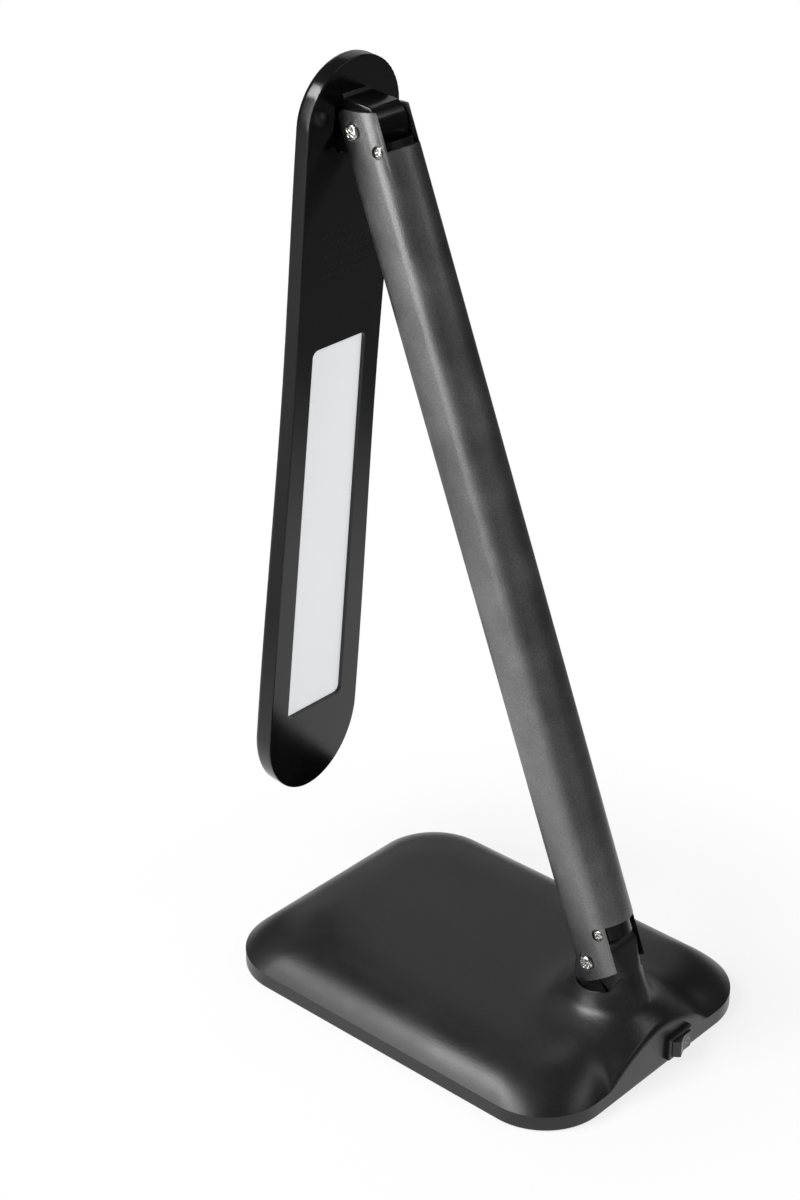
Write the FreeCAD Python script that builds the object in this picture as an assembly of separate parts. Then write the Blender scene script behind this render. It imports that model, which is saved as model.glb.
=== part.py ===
import FreeCAD, Part
import math
import os

V = FreeCAD.Vector

# Folding LED desk lamp. Millimetres, +Z up, the lamp's front toward -Y.
# The origin lies on the desk, under the middle of the base.
# Every length below is a real size; a share is a plain ratio of another size.

# Working values
overrun = 5.0
running_fit = 0.05
slip_fit = 0.1

# Base casing
base_width = 140.0
base_length = 190.0
base_corner = 29.0
rim_bottom = 0.6
rim_top = 7.5
crown_rise = 12.6
crown_reach = 38.0
crown_round_power = 2.2
crown_full_power = 1.7
crown_corner_share = 0.3
crown_step_shares = (0.0, 0.025, 0.08, 0.17, 0.29, 0.44, 0.61, 0.8, 1.0)
cavity_inset = 7.0
cavity_top = 12.2

# Neck of the base, a flared bell that carries the lower hinge
neck_y = 68.3
neck_top = 42.0
neck_half_width = 12.8
neck_half_length = 13.4
foot_half_width = 48.0
foot_half_length = 55.0
flare_step_shares = (0.0, 0.193, 0.362, 0.493, 0.628, 0.797, 1.0)
flare_width_shares = (0.0, 0.02, 0.125, 0.324, 0.543, 0.761, 1.0)
flare_length_shares = (0.0, 0.091, 0.202, 0.332, 0.512, 0.743, 1.0)
neck_point_count = 16
arch_edge_round = 1.4

# Hinges
lower_pivot_y = 63.3
lower_pivot_z = 44.9
arm_span = 351.0
arm_lean_degrees = 21.5
head_hang_degrees = 5.77
hinge_half_width = 8.5
tongue_radius = 14.2
tongue_front_degrees = 119.5
tongue_back_degrees = 39.0
tongue_flank_round = 4.0
tongue_front_drop = 26.0
tongue_front_reach = 9.6
tongue_flank_end_y = 25.0
tongue_flank_end_drop = 20.5
lip_drop = 12.4
lip_front_y = 3.5
lip_bend_y = 3.8
lip_bend_drop = 10.8
lip_back_y = 10.9
lip_back_drop = 6.3
lip_slope_degrees = 40.0
pocket_radius = 15.2
pocket_half_width = 12.1
sleeve_radius = 4.0
washer_radius = 6.5
washer_gap = 0.1
pivot_screw_radius = 1.45
pivot_screw_length = 8.0
pivot_head_radius = 3.1
pivot_head_height = 1.9
pivot_head_round = 0.9
pivot_seat_radius = 4.5
pivot_seat_depth = 1.3

# Base plate, pad and ballast
pad_thickness = 1.0
pad_inset = 10.0
pad_round = 20.0
plate_thickness = 2.4
plate_inset = 2.8
boss_side_inset = 24.0
boss_y = 70.0
boss_radius = 4.0
base_screw_radius = 1.2
base_screw_length = 7.0
base_head_radius = 2.7
base_head_height = 1.3
ballast_width = 80.0
ballast_length = 88.0
ballast_thickness = 8.0
ballast_middle_y = -18.0
ballast_corner = 6.0
ballast_hole_inset = 8.0

# Switch in the rear face
switch_x = -11.8
switch_z = 8.2
switch_bezel_width = 15.0
switch_bezel_height = 10.5
switch_bezel_depth = 2.3
switch_bezel_round = 0.8
switch_body_width = 13.6
switch_body_height = 9.0
switch_body_depth = 11.0
switch_window_width = 12.5
switch_window_height = 7.9
switch_window_depth = 5.5
switch_pocket_side = 2.2
switch_pocket_top = 14.0
switch_panel = 2.4
rocker_pivot_out = 0.2
rocker_radius = 6.1
rocker_height = 7.6
rocker_crease = 3.1
rocker_floor = 1.7
rocker_corner_degrees = 42.0
rocker_tail_degrees = 14.0
rocker_tilt_degrees = 12.0
rocker_pin_radius = 0.75
rocker_pin_length = 0.35
terminal_width = 4.8
terminal_thickness = 0.8
terminal_length = 7.0
terminal_spread = 3.6

# Driver board and power inlet
board_width = 34.0
board_length = 26.0
board_thickness = 1.2
board_edge_gap = 14.0
board_middle_y = 49.0
standoff_height = 2.0
standoff_radius = 2.5
standoff_inset = 4.0
choke_side = 9.0
choke_height = 4.4
capacitor_radius = 2.5
capacitor_height = 4.8
chip_side = 4.0
chip_height = 1.3
inlet_skin = 2.0
inlet_depth = 10.5
inlet_width = 6.0
inlet_height = 4.0
inlet_hole_radius = 1.75
inlet_hole_depth = 9.0
inlet_pin_radius = 0.5

# Arm, an extrusion of D section
arm_half_width = 11.2
arm_front = 6.7
arm_side_back = 7.6
arm_corner = 2.25
arm_wall = 2.0
arm_end_front = 10.1
arm_end_back = 3.2
arm_end_round = 4.0
lower_slot = 15.7
upper_slot = 10.7
plug_depth = 42.0
lower_plug_start = 9.0
upper_plug_start = 7.5
plug_hinge_gap = 1.2
plug_screw_back = 10.5
lower_plug_screw = 13.0
upper_plug_screw = 10.0
plug_screw_radius = 0.95
plug_screw_length = 6.0
plug_head_radius = 2.1
plug_head_height = 1.0
plug_head_round = 0.4
plug_seat_radius = 2.7
plug_seat_half = 9.9
cable_radius = 2.0
cable_back = 3.0
cable_tuck = 6.0

# Lamp head, measured from its pivot along the head
face_offset = 8.4
head_end_radius = 25.7
head_waist = 24.7
head_waist_at = 105.0
head_tip_half = 27.5
head_tip_gap = 68.0
head_tip_length = 35.0
head_thickness_hinge = 8.3
head_thickness_tip = 10.3
head_back_round = 3.0
head_wall = 2.0
bezel_thickness = 2.0
bezel_edge_round = 0.6
head_pocket_depth = 4.5
window_start = 95.7
window_tip_gap = 7.7
window_half_start = 15.5
window_half_end = 17.0
window_corner = 3.0
knuckle_radius = 12.6
knuckle_half_height = 11.0
knuckle_root = 1.2
knuckle_edge_round = 1.0
cheek_pocket_radius = 11.2
cheek_pocket_half = 12.1
hinge_block_half = 14.5
hinge_block_depth = 3.5
diffuser_thickness = 1.5
diffuser_flange = 2.0
led_board_thickness = 1.2
led_board_margin = 1.5
led_chip_width = 2.8
led_chip_length = 3.5
led_chip_height = 0.7
led_row_half = 7.5
led_end_inset = 9.0
led_column_count = 12

# Levels and places that follow from the sizes above
rear_y = base_length / 2
boss_x = base_width / 2 - boss_side_inset
board_left = board_edge_gap - base_width / 2
plate_bottom = pad_thickness
plate_top = plate_bottom + plate_thickness
cheek_inner = arm_half_width - arm_wall
washer_thickness = cheek_inner - hinge_half_width - washer_gap
pivot_seat = arm_half_width - pivot_seat_depth
sleeve_bore = pivot_screw_radius + running_fit
bezel_back = face_offset + bezel_thickness
cover_floor = bezel_back + head_pocket_depth
head_back_max = face_offset + head_thickness_tip
head_tip_at = arm_span - head_tip_gap
window_end = head_tip_at - window_tip_gap
head_run = head_end_radius + head_tip_at + head_tip_length
lower_pivot = V(0, lower_pivot_y, lower_pivot_z)
lean = math.radians(arm_lean_degrees)
upper_pivot = lower_pivot + V(0, -arm_span * math.sin(lean), arm_span * math.cos(lean))


def rounded_loop(corners, radius):
    """Closed wire through the corners, each rounded by a tangent arc of the given radius."""
    edges = []
    starts = []
    ends = []
    for i, corner in enumerate(corners):
        before = (corners[i - 1] - corner).normalize()
        after = (corners[(i + 1) % len(corners)] - corner).normalize()
        half = before.getAngle(after) / 2
        middle = (before + after).normalize()
        starts.append(corner + before * (radius / math.tan(half)))
        ends.append(corner + after * (radius / math.tan(half)))
        bulge = corner + middle * (radius / math.sin(half) - radius)
        edges.append(Part.Arc(starts[i], bulge, ends[i]).toShape())
    for i in range(len(corners)):
        edges.append(Part.makeLine(ends[i - 1], starts[i]))
    return Part.Wire(Part.sortEdges(edges)[0])


def rounded_rectangle(half_x, half_y, radius, z):
    """Rounded rectangle about the origin in a level plane."""
    corners = [V(-half_x, -half_y, z), V(half_x, -half_y, z), V(half_x, half_y, z), V(-half_x, half_y, z)]
    return rounded_loop(corners, radius)


def base_slab(inset, radius, bottom, top):
    """Slab with the base's outline drawn in by an inset."""
    outline = rounded_rectangle(base_width / 2 - inset, base_length / 2 - inset, radius, bottom)
    return Part.Face(outline).extrude(V(0, 0, top - bottom))


def box(x0, x1, y0, y1, z0, z1):
    """Box between two corners."""
    return Part.makeBox(x1 - x0, y1 - y0, z1 - z0, V(x0, y0, z0))


def rod_x(radius, x0, x1, y=0, z=0):
    """Cylinder along X."""
    return Part.makeCylinder(radius, x1 - x0, V(x0, y, z), V(1, 0, 0))


def post(radius, x, y, bottom, top):
    """Upright cylinder."""
    return Part.makeCylinder(radius, top - bottom, V(x, y, bottom))


def side_profile(edges, half_width):
    """Profile drawn in the YZ plane, given depth to both sides of the middle."""
    face = Part.Face(Part.Wire(Part.sortEdges(edges)[0]))
    return face.extrude(V(2 * half_width, 0, 0)).translated(V(-half_width, 0, 0))


def lines(points):
    """Straight edges from point to point."""
    return [Part.makeLine(a, b) for a, b in zip(points, points[1:])]


def both_sides(shape):
    """The shape and its mirror image across the lamp's middle plane."""
    return [shape, shape.mirror(V(0, 0, 0), V(1, 0, 0))]


def one(shape):
    """Merge split faces and return the single solid."""
    clean = shape.removeSplitter()
    return clean.Solids[0]


def placed(shape, degrees, pivot):
    """Turn a piece about X at the origin and carry it to its pivot."""
    return shape.rotated(V(0, 0, 0), V(1, 0, 0), degrees).translated(pivot)


def save(name, shapes):
    """Write one node, a single solid or a group of separate solids."""
    solids = [solid for shape in shapes for solid in shape.Solids]
    shape = solids[0] if len(solids) == 1 else Part.makeCompound(solids)
    assert shape.isValid(), name
    shape.exportStep("parts/%s.step" % name)
    print("%-24s %2d solid  %10.1f mm3" % (name, len(solids), shape.Volume))


def crown():
    """Pillow top: outlines drawn in step by step, rising steeply at the rim and flat on top."""
    sections = []
    for share in crown_step_shares:
        inset = crown_reach * share
        rise = crown_rise * (1 - (1 - share) ** crown_round_power) ** (1 / crown_full_power)
        radius = base_corner - crown_corner_share * inset
        sections.append(rounded_rectangle(base_width / 2 - inset, rear_y - inset, radius, rim_top + rise))
    return Part.makeLoft(sections, True, False)


def neck_bell():
    """Flared neck: ellipses that widen step by step from the neck down, cut by the rear face."""
    sections = []
    for drop, wide, long in zip(flare_step_shares, flare_width_shares, flare_length_shares):
        z = neck_top - (neck_top - rim_bottom) * drop
        half_x = neck_half_width + (foot_half_width - neck_half_width) * wide
        half_y = neck_half_length + (foot_half_length - neck_half_length) * long
        turns = [2 * math.pi * i / neck_point_count for i in range(neck_point_count)]
        ellipse = Part.BSplineCurve()
        ellipse.interpolate(Points=[V(half_x * math.sin(turn), neck_y - half_y * math.cos(turn), z)
                                    for turn in turns], PeriodicFlag=True)
        sections.append(Part.Wire([ellipse.toShape()]))
    bell = Part.makeLoft(sections, True, False)
    behind = box(-base_width, base_width, rear_y, rear_y + base_length, 0, neck_top + overrun)
    return bell.cut(behind)


def above_lip():
    """Everything above the curved lip that the arm's cheeks turn in."""
    slope = math.radians(lip_slope_degrees)
    front = V(0, -lip_front_y, -lip_drop)
    back = V(0, lip_back_y, -lip_back_drop)
    far = back + V(0, math.cos(slope), math.sin(slope)) * base_length
    start = V(0, -base_length, -lip_drop)
    outline = lines([start, front])
    outline.append(Part.Arc(front, V(0, lip_bend_y, -lip_bend_drop), back).toShape())
    outline += lines([back, far, V(0, -base_length, far.z), start])
    return side_profile(outline, base_width).translated(lower_pivot)


def hinge_tongue():
    """Tongue between the arm's cheeks, round about the pivot, with a flank that sweeps to the rear."""
    front_angle = math.radians(tongue_front_degrees)
    back_angle = math.radians(tongue_back_degrees)
    front = V(0, math.cos(front_angle), math.sin(front_angle)) * tongue_radius
    back = V(0, math.cos(back_angle), math.sin(back_angle)) * tongue_radius
    flank_end = V(0, tongue_flank_end_y, -tongue_flank_end_drop)
    root_front = V(0, -tongue_front_reach, -tongue_front_drop)
    root_back = V(0, tongue_flank_end_y, -tongue_front_drop)
    outline = [Part.Arc(front, V(0, 0, tongue_radius), back).toShape()]
    outline += lines([back, flank_end, root_back, root_front, front])
    tongue = side_profile(outline, hinge_half_width)
    shown = [edge for edge in tongue.Edges
             if edge.BoundBox.XLength < running_fit and edge.BoundBox.ZMax > 0
             and edge.BoundBox.YMax > tongue_flank_end_y - running_fit]
    return tongue.makeFillet(tongue_flank_round, shown).translated(lower_pivot)


def boss_places():
    """Four screw places near the corners of the base."""
    return [(x, y) for x in (-boss_x, boss_x) for y in (-boss_y, boss_y)]


def ballast_places():
    """Four screw places near the corners of the ballast."""
    x = ballast_width / 2 - ballast_hole_inset
    y = ballast_length / 2 - ballast_hole_inset
    return [(sx, ballast_middle_y + sy) for sx in (-x, x) for sy in (-y, y)]


def base_cover():
    """Moulded casing: rim, pillow crown, flared neck with lip, pockets and tongue, hollow below."""
    rim = base_slab(0, base_corner, rim_bottom, rim_top)
    bell = neck_bell().cut(above_lip())
    arch = [edge for edge in bell.Edges
            if edge.BoundBox.YLength < running_fit and abs(edge.BoundBox.YMin - rear_y) < running_fit
            and edge.BoundBox.ZLength > rim_top]
    bell = bell.makeFillet(arch_edge_round, arch)
    casing = rim.fuse([crown(), bell, hinge_tongue()])
    for x0, x1 in ((hinge_half_width, pocket_half_width), (-pocket_half_width, -hinge_half_width)):
        casing = casing.cut(rod_x(pocket_radius, x0, x1, lower_pivot_y, lower_pivot_z))
    bore = sleeve_radius + running_fit
    casing = casing.cut(rod_x(bore, -base_width, base_width, lower_pivot_y, lower_pivot_z))
    casing = casing.cut(base_slab(plate_inset, base_corner - plate_inset, rim_bottom - overrun, plate_top))
    cavity = base_slab(cavity_inset, base_corner - cavity_inset, plate_top, cavity_top)
    switch_half = switch_body_width / 2 + switch_pocket_side
    cavity = cavity.fuse(box(switch_x - switch_half, switch_x + switch_half, rear_y - 2 * switch_body_depth,
                             rear_y - switch_panel, plate_top, switch_pocket_top))
    inlet_half = inlet_width / 2 + slip_fit
    cavity = cavity.fuse(box(inlet_skin - base_width / 2, board_left, board_middle_y - inlet_half,
                             board_middle_y + inlet_half, plate_top, plate_top + inlet_height + slip_fit))
    for x, y in boss_places():
        cavity = cavity.cut(post(boss_radius, x, y, plate_top, cavity_top))
    casing = casing.cut(cavity)
    for x, y in boss_places():
        casing = casing.cut(post(base_screw_radius + running_fit, x, y, plate_top - overrun, cavity_top))
    half_x = switch_body_width / 2 + slip_fit
    half_z = switch_body_height / 2 + slip_fit
    casing = casing.cut(box(switch_x - half_x, switch_x + half_x, rear_y - switch_body_depth,
                            rear_y + overrun, switch_z - half_z, switch_z + half_z))
    inlet_z = plate_top + inlet_height / 2
    inlet_bore = rod_x(inlet_hole_radius + slip_fit, -base_width, inlet_skin - base_width / 2,
                       board_middle_y, inlet_z)
    return one(casing.cut(inlet_bore))


def base_plate():
    """Flat cover under the base with screw seats and two posts for the driver board."""
    plate = base_slab(plate_inset + slip_fit, base_corner - plate_inset - slip_fit, plate_bottom, plate_top)
    for x, y in standoff_places():
        plate = plate.fuse(post(standoff_radius, x, y, plate_bottom, plate_top + standoff_height))
    for x, y in boss_places() + ballast_places():
        seat_top = plate_bottom + base_head_height + slip_fit
        plate = plate.cut(post(base_head_radius + slip_fit, x, y, plate_bottom - overrun, seat_top))
        plate = plate.cut(post(base_screw_radius + slip_fit, x, y, plate_bottom, plate_top + overrun))
    return one(plate)


def base_screw(x, y):
    """Pan-head screw that stands head down in the base plate."""
    seat = plate_bottom + base_head_height + slip_fit
    head = post(base_head_radius, x, y, seat - base_head_height, seat)
    return one(head.fuse(post(base_screw_radius, x, y, seat, seat + base_screw_length)))


def ballast():
    """Steel weight that lies on the base plate."""
    outline = rounded_rectangle(ballast_width / 2, ballast_length / 2, ballast_corner, plate_top)
    block = Part.Face(outline).extrude(V(0, 0, ballast_thickness)).translated(V(0, ballast_middle_y, 0))
    for x, y in ballast_places():
        bore = base_screw_radius + running_fit
        block = block.cut(post(bore, x, y, plate_top - overrun, plate_top + ballast_thickness + overrun))
    return one(block)


def standoff_places():
    """Two posts at opposite corners of the driver board."""
    half = board_length / 2 - standoff_inset
    return [(board_left + standoff_inset, board_middle_y - half),
            (board_left + board_width - standoff_inset, board_middle_y + half)]


def driver_board():
    """Circuit board on the plate's posts."""
    bottom = plate_top + standoff_height
    return box(board_left, board_left + board_width, board_middle_y - board_length / 2,
               board_middle_y + board_length / 2, bottom, bottom + board_thickness)


def driver_components():
    """Choke, two capacitors and a control chip, standing on the board."""
    level = plate_top + standoff_height + board_thickness
    x = board_left + board_width / 2
    half = choke_side / 2
    parts = [box(x - half, x + half, board_middle_y - half, board_middle_y + half, level, level + choke_height)]
    step = choke_side + capacitor_radius / 2
    for side in (-1, 1):
        parts.append(post(capacitor_radius, x + step, board_middle_y + side * half, level, level + capacitor_height))
    chip = chip_side / 2
    parts.append(box(x - step - chip, x - step + chip, board_middle_y - chip, board_middle_y + chip,
                     level, level + chip_height))
    return parts


def power_inlet():
    """Barrel socket behind the rim, open to the side, with its centre pin."""
    left = inlet_skin - base_width / 2
    z = plate_top + inlet_height / 2
    half = inlet_width / 2
    body = box(left, left + inlet_depth, board_middle_y - half, board_middle_y + half,
               plate_top, plate_top + inlet_height)
    body = body.cut(rod_x(inlet_hole_radius, left - overrun, left + inlet_hole_depth, board_middle_y, z))
    return one(body.fuse(rod_x(inlet_pin_radius, left, left + inlet_hole_depth, board_middle_y, z)))


def switch_housing():
    """Snap-in switch body: bezel outside, box behind the panel, well for the rocker."""
    half_x = switch_bezel_width / 2
    half_z = switch_bezel_height / 2
    bezel = box(switch_x - half_x, switch_x + half_x, rear_y, rear_y + switch_bezel_depth,
                switch_z - half_z, switch_z + half_z)
    front = rear_y + switch_bezel_depth
    rounded = [edge for edge in bezel.Edges if edge.BoundBox.YMin > front - running_fit]
    bezel = bezel.makeFillet(switch_bezel_round, rounded)
    half_x = switch_body_width / 2
    half_z = switch_body_height / 2
    body = bezel.fuse(box(switch_x - half_x, switch_x + half_x, rear_y - switch_body_depth, rear_y,
                          switch_z - half_z, switch_z + half_z))
    half_x = switch_window_width / 2
    half_z = switch_window_height / 2
    body = body.cut(box(switch_x - half_x, switch_x + half_x, rear_y - switch_window_depth, front + overrun,
                        switch_z - half_z, switch_z + half_z))
    pin = post(rocker_pin_radius + running_fit, switch_x, rear_y + rocker_pivot_out,
               switch_z - rocker_height / 2 - rocker_pin_length - slip_fit,
               switch_z + rocker_height / 2 + rocker_pin_length + slip_fit)
    return one(body.cut(pin))


def switch_rocker():
    """Rocker with a shallow V face and round ends about its pins, tipped to its off side."""
    def at(degrees):
        angle = math.radians(degrees)
        return V(math.cos(angle), math.sin(angle), 0) * rocker_radius
    right = at(rocker_corner_degrees)
    right_tail = at(-rocker_tail_degrees)
    left = at(180 - rocker_corner_degrees)
    left_tail = at(180 + rocker_tail_degrees)
    floor_half = rocker_radius / 2
    outline = [Part.Arc(right_tail, at(0), right).toShape(), Part.Arc(left, at(180), left_tail).toShape()]
    outline += lines([right, V(0, rocker_crease, 0), left])
    outline += lines([left_tail, V(-floor_half, -rocker_floor, 0), V(floor_half, -rocker_floor, 0), right_tail])
    face = Part.Face(Part.Wire(Part.sortEdges(outline)[0]))
    key = face.extrude(V(0, 0, rocker_height)).translated(V(0, 0, -rocker_height / 2))
    reach = rocker_height / 2 + rocker_pin_length
    key = one(key.fuse(post(rocker_pin_radius, 0, 0, -reach, reach)))
    key.rotate(V(0, 0, 0), V(0, 0, 1), rocker_tilt_degrees)
    return key.translated(V(switch_x, rear_y + rocker_pivot_out, switch_z))


def switch_terminals():
    """Two blades at the back of the switch."""
    back = rear_y - switch_body_depth
    blades = []
    for x in (switch_x - terminal_spread, switch_x + terminal_spread):
        half_x = terminal_thickness / 2
        half_z = terminal_width / 2
        blades.append(box(x - half_x, x + half_x, back - terminal_length, back, switch_z - half_z,
                          switch_z + half_z))
    return blades


def d_section(inset, bottom, top, corner):
    """D-shaped bar along the arm: flat front with rounded corners, straight sides, round back."""
    half = arm_half_width - inset
    front = -(arm_front - inset)
    bulge = corner * (1 - math.sqrt(0.5))
    turn_right = V(half, front + corner, bottom)
    turn_left = V(-half, front + corner, bottom)
    low_right = V(half - corner, front, bottom)
    low_left = V(corner - half, front, bottom)
    back_right = V(half, arm_side_back, bottom)
    back_left = V(-half, arm_side_back, bottom)
    edges = [Part.Arc(low_right, V(half - bulge, front + bulge, bottom), turn_right).toShape(),
             Part.Arc(turn_left, V(bulge - half, front + bulge, bottom), low_left).toShape(),
             Part.Arc(back_right, V(0, arm_side_back + half, bottom), back_left).toShape()]
    edges += lines([low_left, low_right]) + lines([turn_right, back_right]) + lines([back_left, turn_left])
    return Part.Face(Part.Wire(Part.sortEdges(edges)[0])).extrude(V(0, 0, top - bottom))


def arm_end_shape():
    """Side view of the arm: slanted ends with rounded front corners."""
    front = -arm_front
    back = arm_side_back + arm_half_width
    outline = [V(0, front, -arm_end_front), V(0, back, -arm_end_back), V(0, back, arm_span + arm_end_back),
               V(0, front, arm_span + arm_end_front)]
    block = side_profile(lines(outline + outline[:1]), arm_half_width)
    corners = [edge for edge in block.Edges
               if edge.BoundBox.XLength > arm_half_width and edge.BoundBox.YMax < front + running_fit]
    return block.makeFillet(arm_end_round, corners)


def arm_screw_places():
    """Heights of the two pairs of plug screws along the arm."""
    return [lower_plug_screw, arm_span - upper_plug_screw]


def arm_tube():
    """Extruded arm with forked ends, slanted ends and seats for the screws."""
    low = -arm_end_front
    high = arm_span + arm_end_front
    tube = d_section(0, low, high, arm_corner).common(arm_end_shape())
    tube = tube.cut(d_section(arm_wall, low - overrun, high + overrun, arm_corner / 2))
    deep = 2 * arm_half_width
    tube = tube.cut(box(-cheek_inner, cheek_inner, -deep, 2 * deep, low - overrun, lower_slot))
    tube = tube.cut(box(-cheek_inner, cheek_inner, -deep, 2 * deep, arm_span - upper_slot, high + overrun))
    tube = tube.cut(rod_x(knuckle_radius + plug_hinge_gap, -cheek_inner, cheek_inner, 0, arm_span))
    for z in (0, arm_span):
        tube = tube.cut(rod_x(pivot_screw_radius + slip_fit, -deep, deep, 0, z))
        for seat in both_sides(rod_x(pivot_seat_radius, pivot_seat, deep, 0, z)):
            tube = tube.cut(seat)
    for z in arm_screw_places():
        tube = tube.cut(rod_x(plug_screw_radius + slip_fit, -deep, deep, plug_screw_back, z))
        for seat in both_sides(rod_x(plug_seat_radius, plug_seat_half, deep, plug_screw_back, z)):
            tube = tube.cut(seat)
    return one(tube)


def arm_plug(bottom, top, hinge_z, hinge_radius, screw_z):
    """Plug inside the arm's end, hollowed to clear the hinge, bored for the cable and screws."""
    plug = d_section(arm_wall + slip_fit, bottom, top, arm_corner / 2)
    deep = 2 * arm_half_width
    plug = plug.cut(rod_x(hinge_radius + plug_hinge_gap, -deep, deep, 0, hinge_z))
    bore = cable_radius + slip_fit
    plug = plug.cut(Part.makeCylinder(bore, top - bottom + 2 * overrun, V(0, cable_back, bottom - overrun)))
    return one(plug.cut(rod_x(plug_screw_radius + running_fit, -deep, deep, plug_screw_back, screw_z)))


def arm_cable():
    """Two-core lead inside the arm, held in the bores of both plugs."""
    start = tongue_radius + plug_hinge_gap + cable_tuck
    end = arm_span - knuckle_radius - plug_hinge_gap - cable_tuck
    return Part.makeCylinder(cable_radius, end - start, V(0, cable_back, start))


def pan_screw(seat, head_radius, head_height, head_round, shank_radius, length, y, z):
    """Pan-head screw along X with its head seated at a distance from the middle plane."""
    shoulder = seat + head_height - head_round
    head = rod_x(head_radius, seat, shoulder, y, z)
    crest = Part.makeCone(head_radius, head_radius - head_round, head_round, V(shoulder, y, z), V(1, 0, 0))
    return one(head.fuse([crest, rod_x(shank_radius, seat - length, seat, y, z)]))


def pivot_set(z):
    """Screws, sleeve and friction washers of one hinge, all fixed to the arm."""
    screw = pan_screw(pivot_seat, pivot_head_radius, pivot_head_height, pivot_head_round,
                      pivot_screw_radius, pivot_screw_length, 0, z)
    sleeve = rod_x(sleeve_radius, -cheek_inner, cheek_inner, 0, z)
    sleeve = one(sleeve.cut(rod_x(sleeve_bore, -arm_half_width, arm_half_width, 0, z)))
    washer = rod_x(washer_radius, cheek_inner - washer_thickness, cheek_inner, 0, z)
    washer = one(washer.cut(rod_x(sleeve_radius + slip_fit, 0, arm_half_width, 0, z)))
    return both_sides(screw), [sleeve], both_sides(washer)


def plug_screws():
    """Four small screws that hold the plugs."""
    screws = []
    for z in arm_screw_places():
        screws += both_sides(pan_screw(plug_seat_half, plug_head_radius, plug_head_height, plug_head_round,
                                       plug_screw_radius, plug_screw_length, plug_screw_back, z))
    return screws


def head_outline(inset, depth):
    """Outline of the head: round hinge end, waisted sides, elliptic tip, at a depth behind the pivot."""
    end = head_end_radius - inset
    tip = head_tip_half - inset
    reach = head_tip_length - inset
    along = V(0, 0, -1)
    edges = [Part.Arc(V(end, -depth, 0), V(0, -depth, end), V(-end, -depth, 0)).toShape()]
    for side in (-1, 1):
        curve = Part.BSplineCurve()
        curve.interpolate(Points=[V(side * end, -depth, 0), V(side * (head_waist - inset), -depth, -head_waist_at),
                                  V(side * tip, -depth, -head_tip_at)],
                          InitialTangent=along, FinalTangent=along)
        edges.append(curve.toShape())
    middle = V(0, -depth, -head_tip_at)
    ellipse = Part.Ellipse(middle + along * reach, middle + V(tip, 0, 0), middle)
    edges.append(Part.ArcOfEllipse(ellipse, -math.pi / 2, math.pi / 2).toShape())
    return Part.Wire(Part.sortEdges(edges)[0])


def head_slab(inset, front, back):
    """Slab with the head's outline between two depths behind the pivot."""
    return Part.Face(head_outline(inset, front)).extrude(V(0, front - back, 0))


def head_cover():
    """Back shell of the head: tapered thickness, rounded back edge, hollow toward the face."""
    top = head_end_radius
    bottom = top - head_run
    wedge_back = head_back_max + overrun
    wedge = side_profile(lines([V(0, -face_offset - head_thickness_hinge, top + overrun),
                                V(0, -face_offset - head_thickness_hinge, top),
                                V(0, -head_back_max, bottom), V(0, -wedge_back, bottom),
                                V(0, -wedge_back, top + overrun),
                                V(0, -face_offset - head_thickness_hinge, top + overrun)]), head_run)
    cover = one(head_slab(0, bezel_back, head_back_max).cut(wedge))
    back_face = min(cover.Faces, key=lambda face: face.CenterOfMass.y)
    cover = cover.makeFillet(head_back_round, back_face.Edges)
    return one(cover.cut(head_slab(head_wall, bezel_back, cover_floor)))


def window_outline(grow, depth):
    """Tapered window of the light, grown by a margin, at a depth behind the pivot."""
    start = grow - window_start
    end = -window_end - grow
    corners = [V(-window_half_start - grow, -depth, start), V(window_half_start + grow, -depth, start),
               V(window_half_end + grow, -depth, end), V(-window_half_end - grow, -depth, end)]
    return rounded_loop(corners, window_corner)


def window_slab(grow, front, back):
    """Slab with the window's outline between two depths behind the pivot."""
    return Part.Face(window_outline(grow, front)).extrude(V(0, front - back, 0))


def head_bezel():
    """Face panel of the head with its window, hinge knuckle and pockets for the arm's cheeks."""
    panel = head_slab(0, face_offset, bezel_back)
    face = max(panel.Faces, key=lambda candidate: candidate.CenterOfMass.y)
    panel = panel.makeFillet(bezel_edge_round, face.Edges)
    root = knuckle_half_height + knuckle_root
    flat_end = math.sqrt(knuckle_radius ** 2 - knuckle_half_height ** 2)
    upper = V(0, flat_end, knuckle_half_height)
    lower = V(0, flat_end, -knuckle_half_height)
    outline = [Part.Arc(upper, V(0, knuckle_radius, 0), lower).toShape()]
    outline += lines([lower, V(0, knuckle_root - face_offset, -knuckle_half_height),
                      V(0, -face_offset, -root), V(0, -bezel_back, -root), V(0, -bezel_back, root),
                      V(0, -face_offset, root), V(0, knuckle_root - face_offset, knuckle_half_height), upper])
    knuckle = side_profile(outline, hinge_half_width)
    shown = [edge for edge in knuckle.Edges
             if edge.BoundBox.XLength < running_fit and edge.BoundBox.YMax > running_fit]
    knuckle = knuckle.makeFillet(knuckle_edge_round, shown)
    half = hinge_block_half
    block = box(-half, half, -bezel_back - hinge_block_depth, -bezel_back, -half, half)
    panel = panel.fuse([knuckle, block])
    for x0, x1 in ((hinge_half_width, cheek_pocket_half), (-cheek_pocket_half, -hinge_half_width)):
        panel = panel.cut(rod_x(cheek_pocket_radius, x0, x1))
    panel = panel.cut(rod_x(sleeve_radius + running_fit, -head_run, head_run))
    return one(panel.cut(window_slab(0, face_offset - overrun, bezel_back + overrun)))


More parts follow.
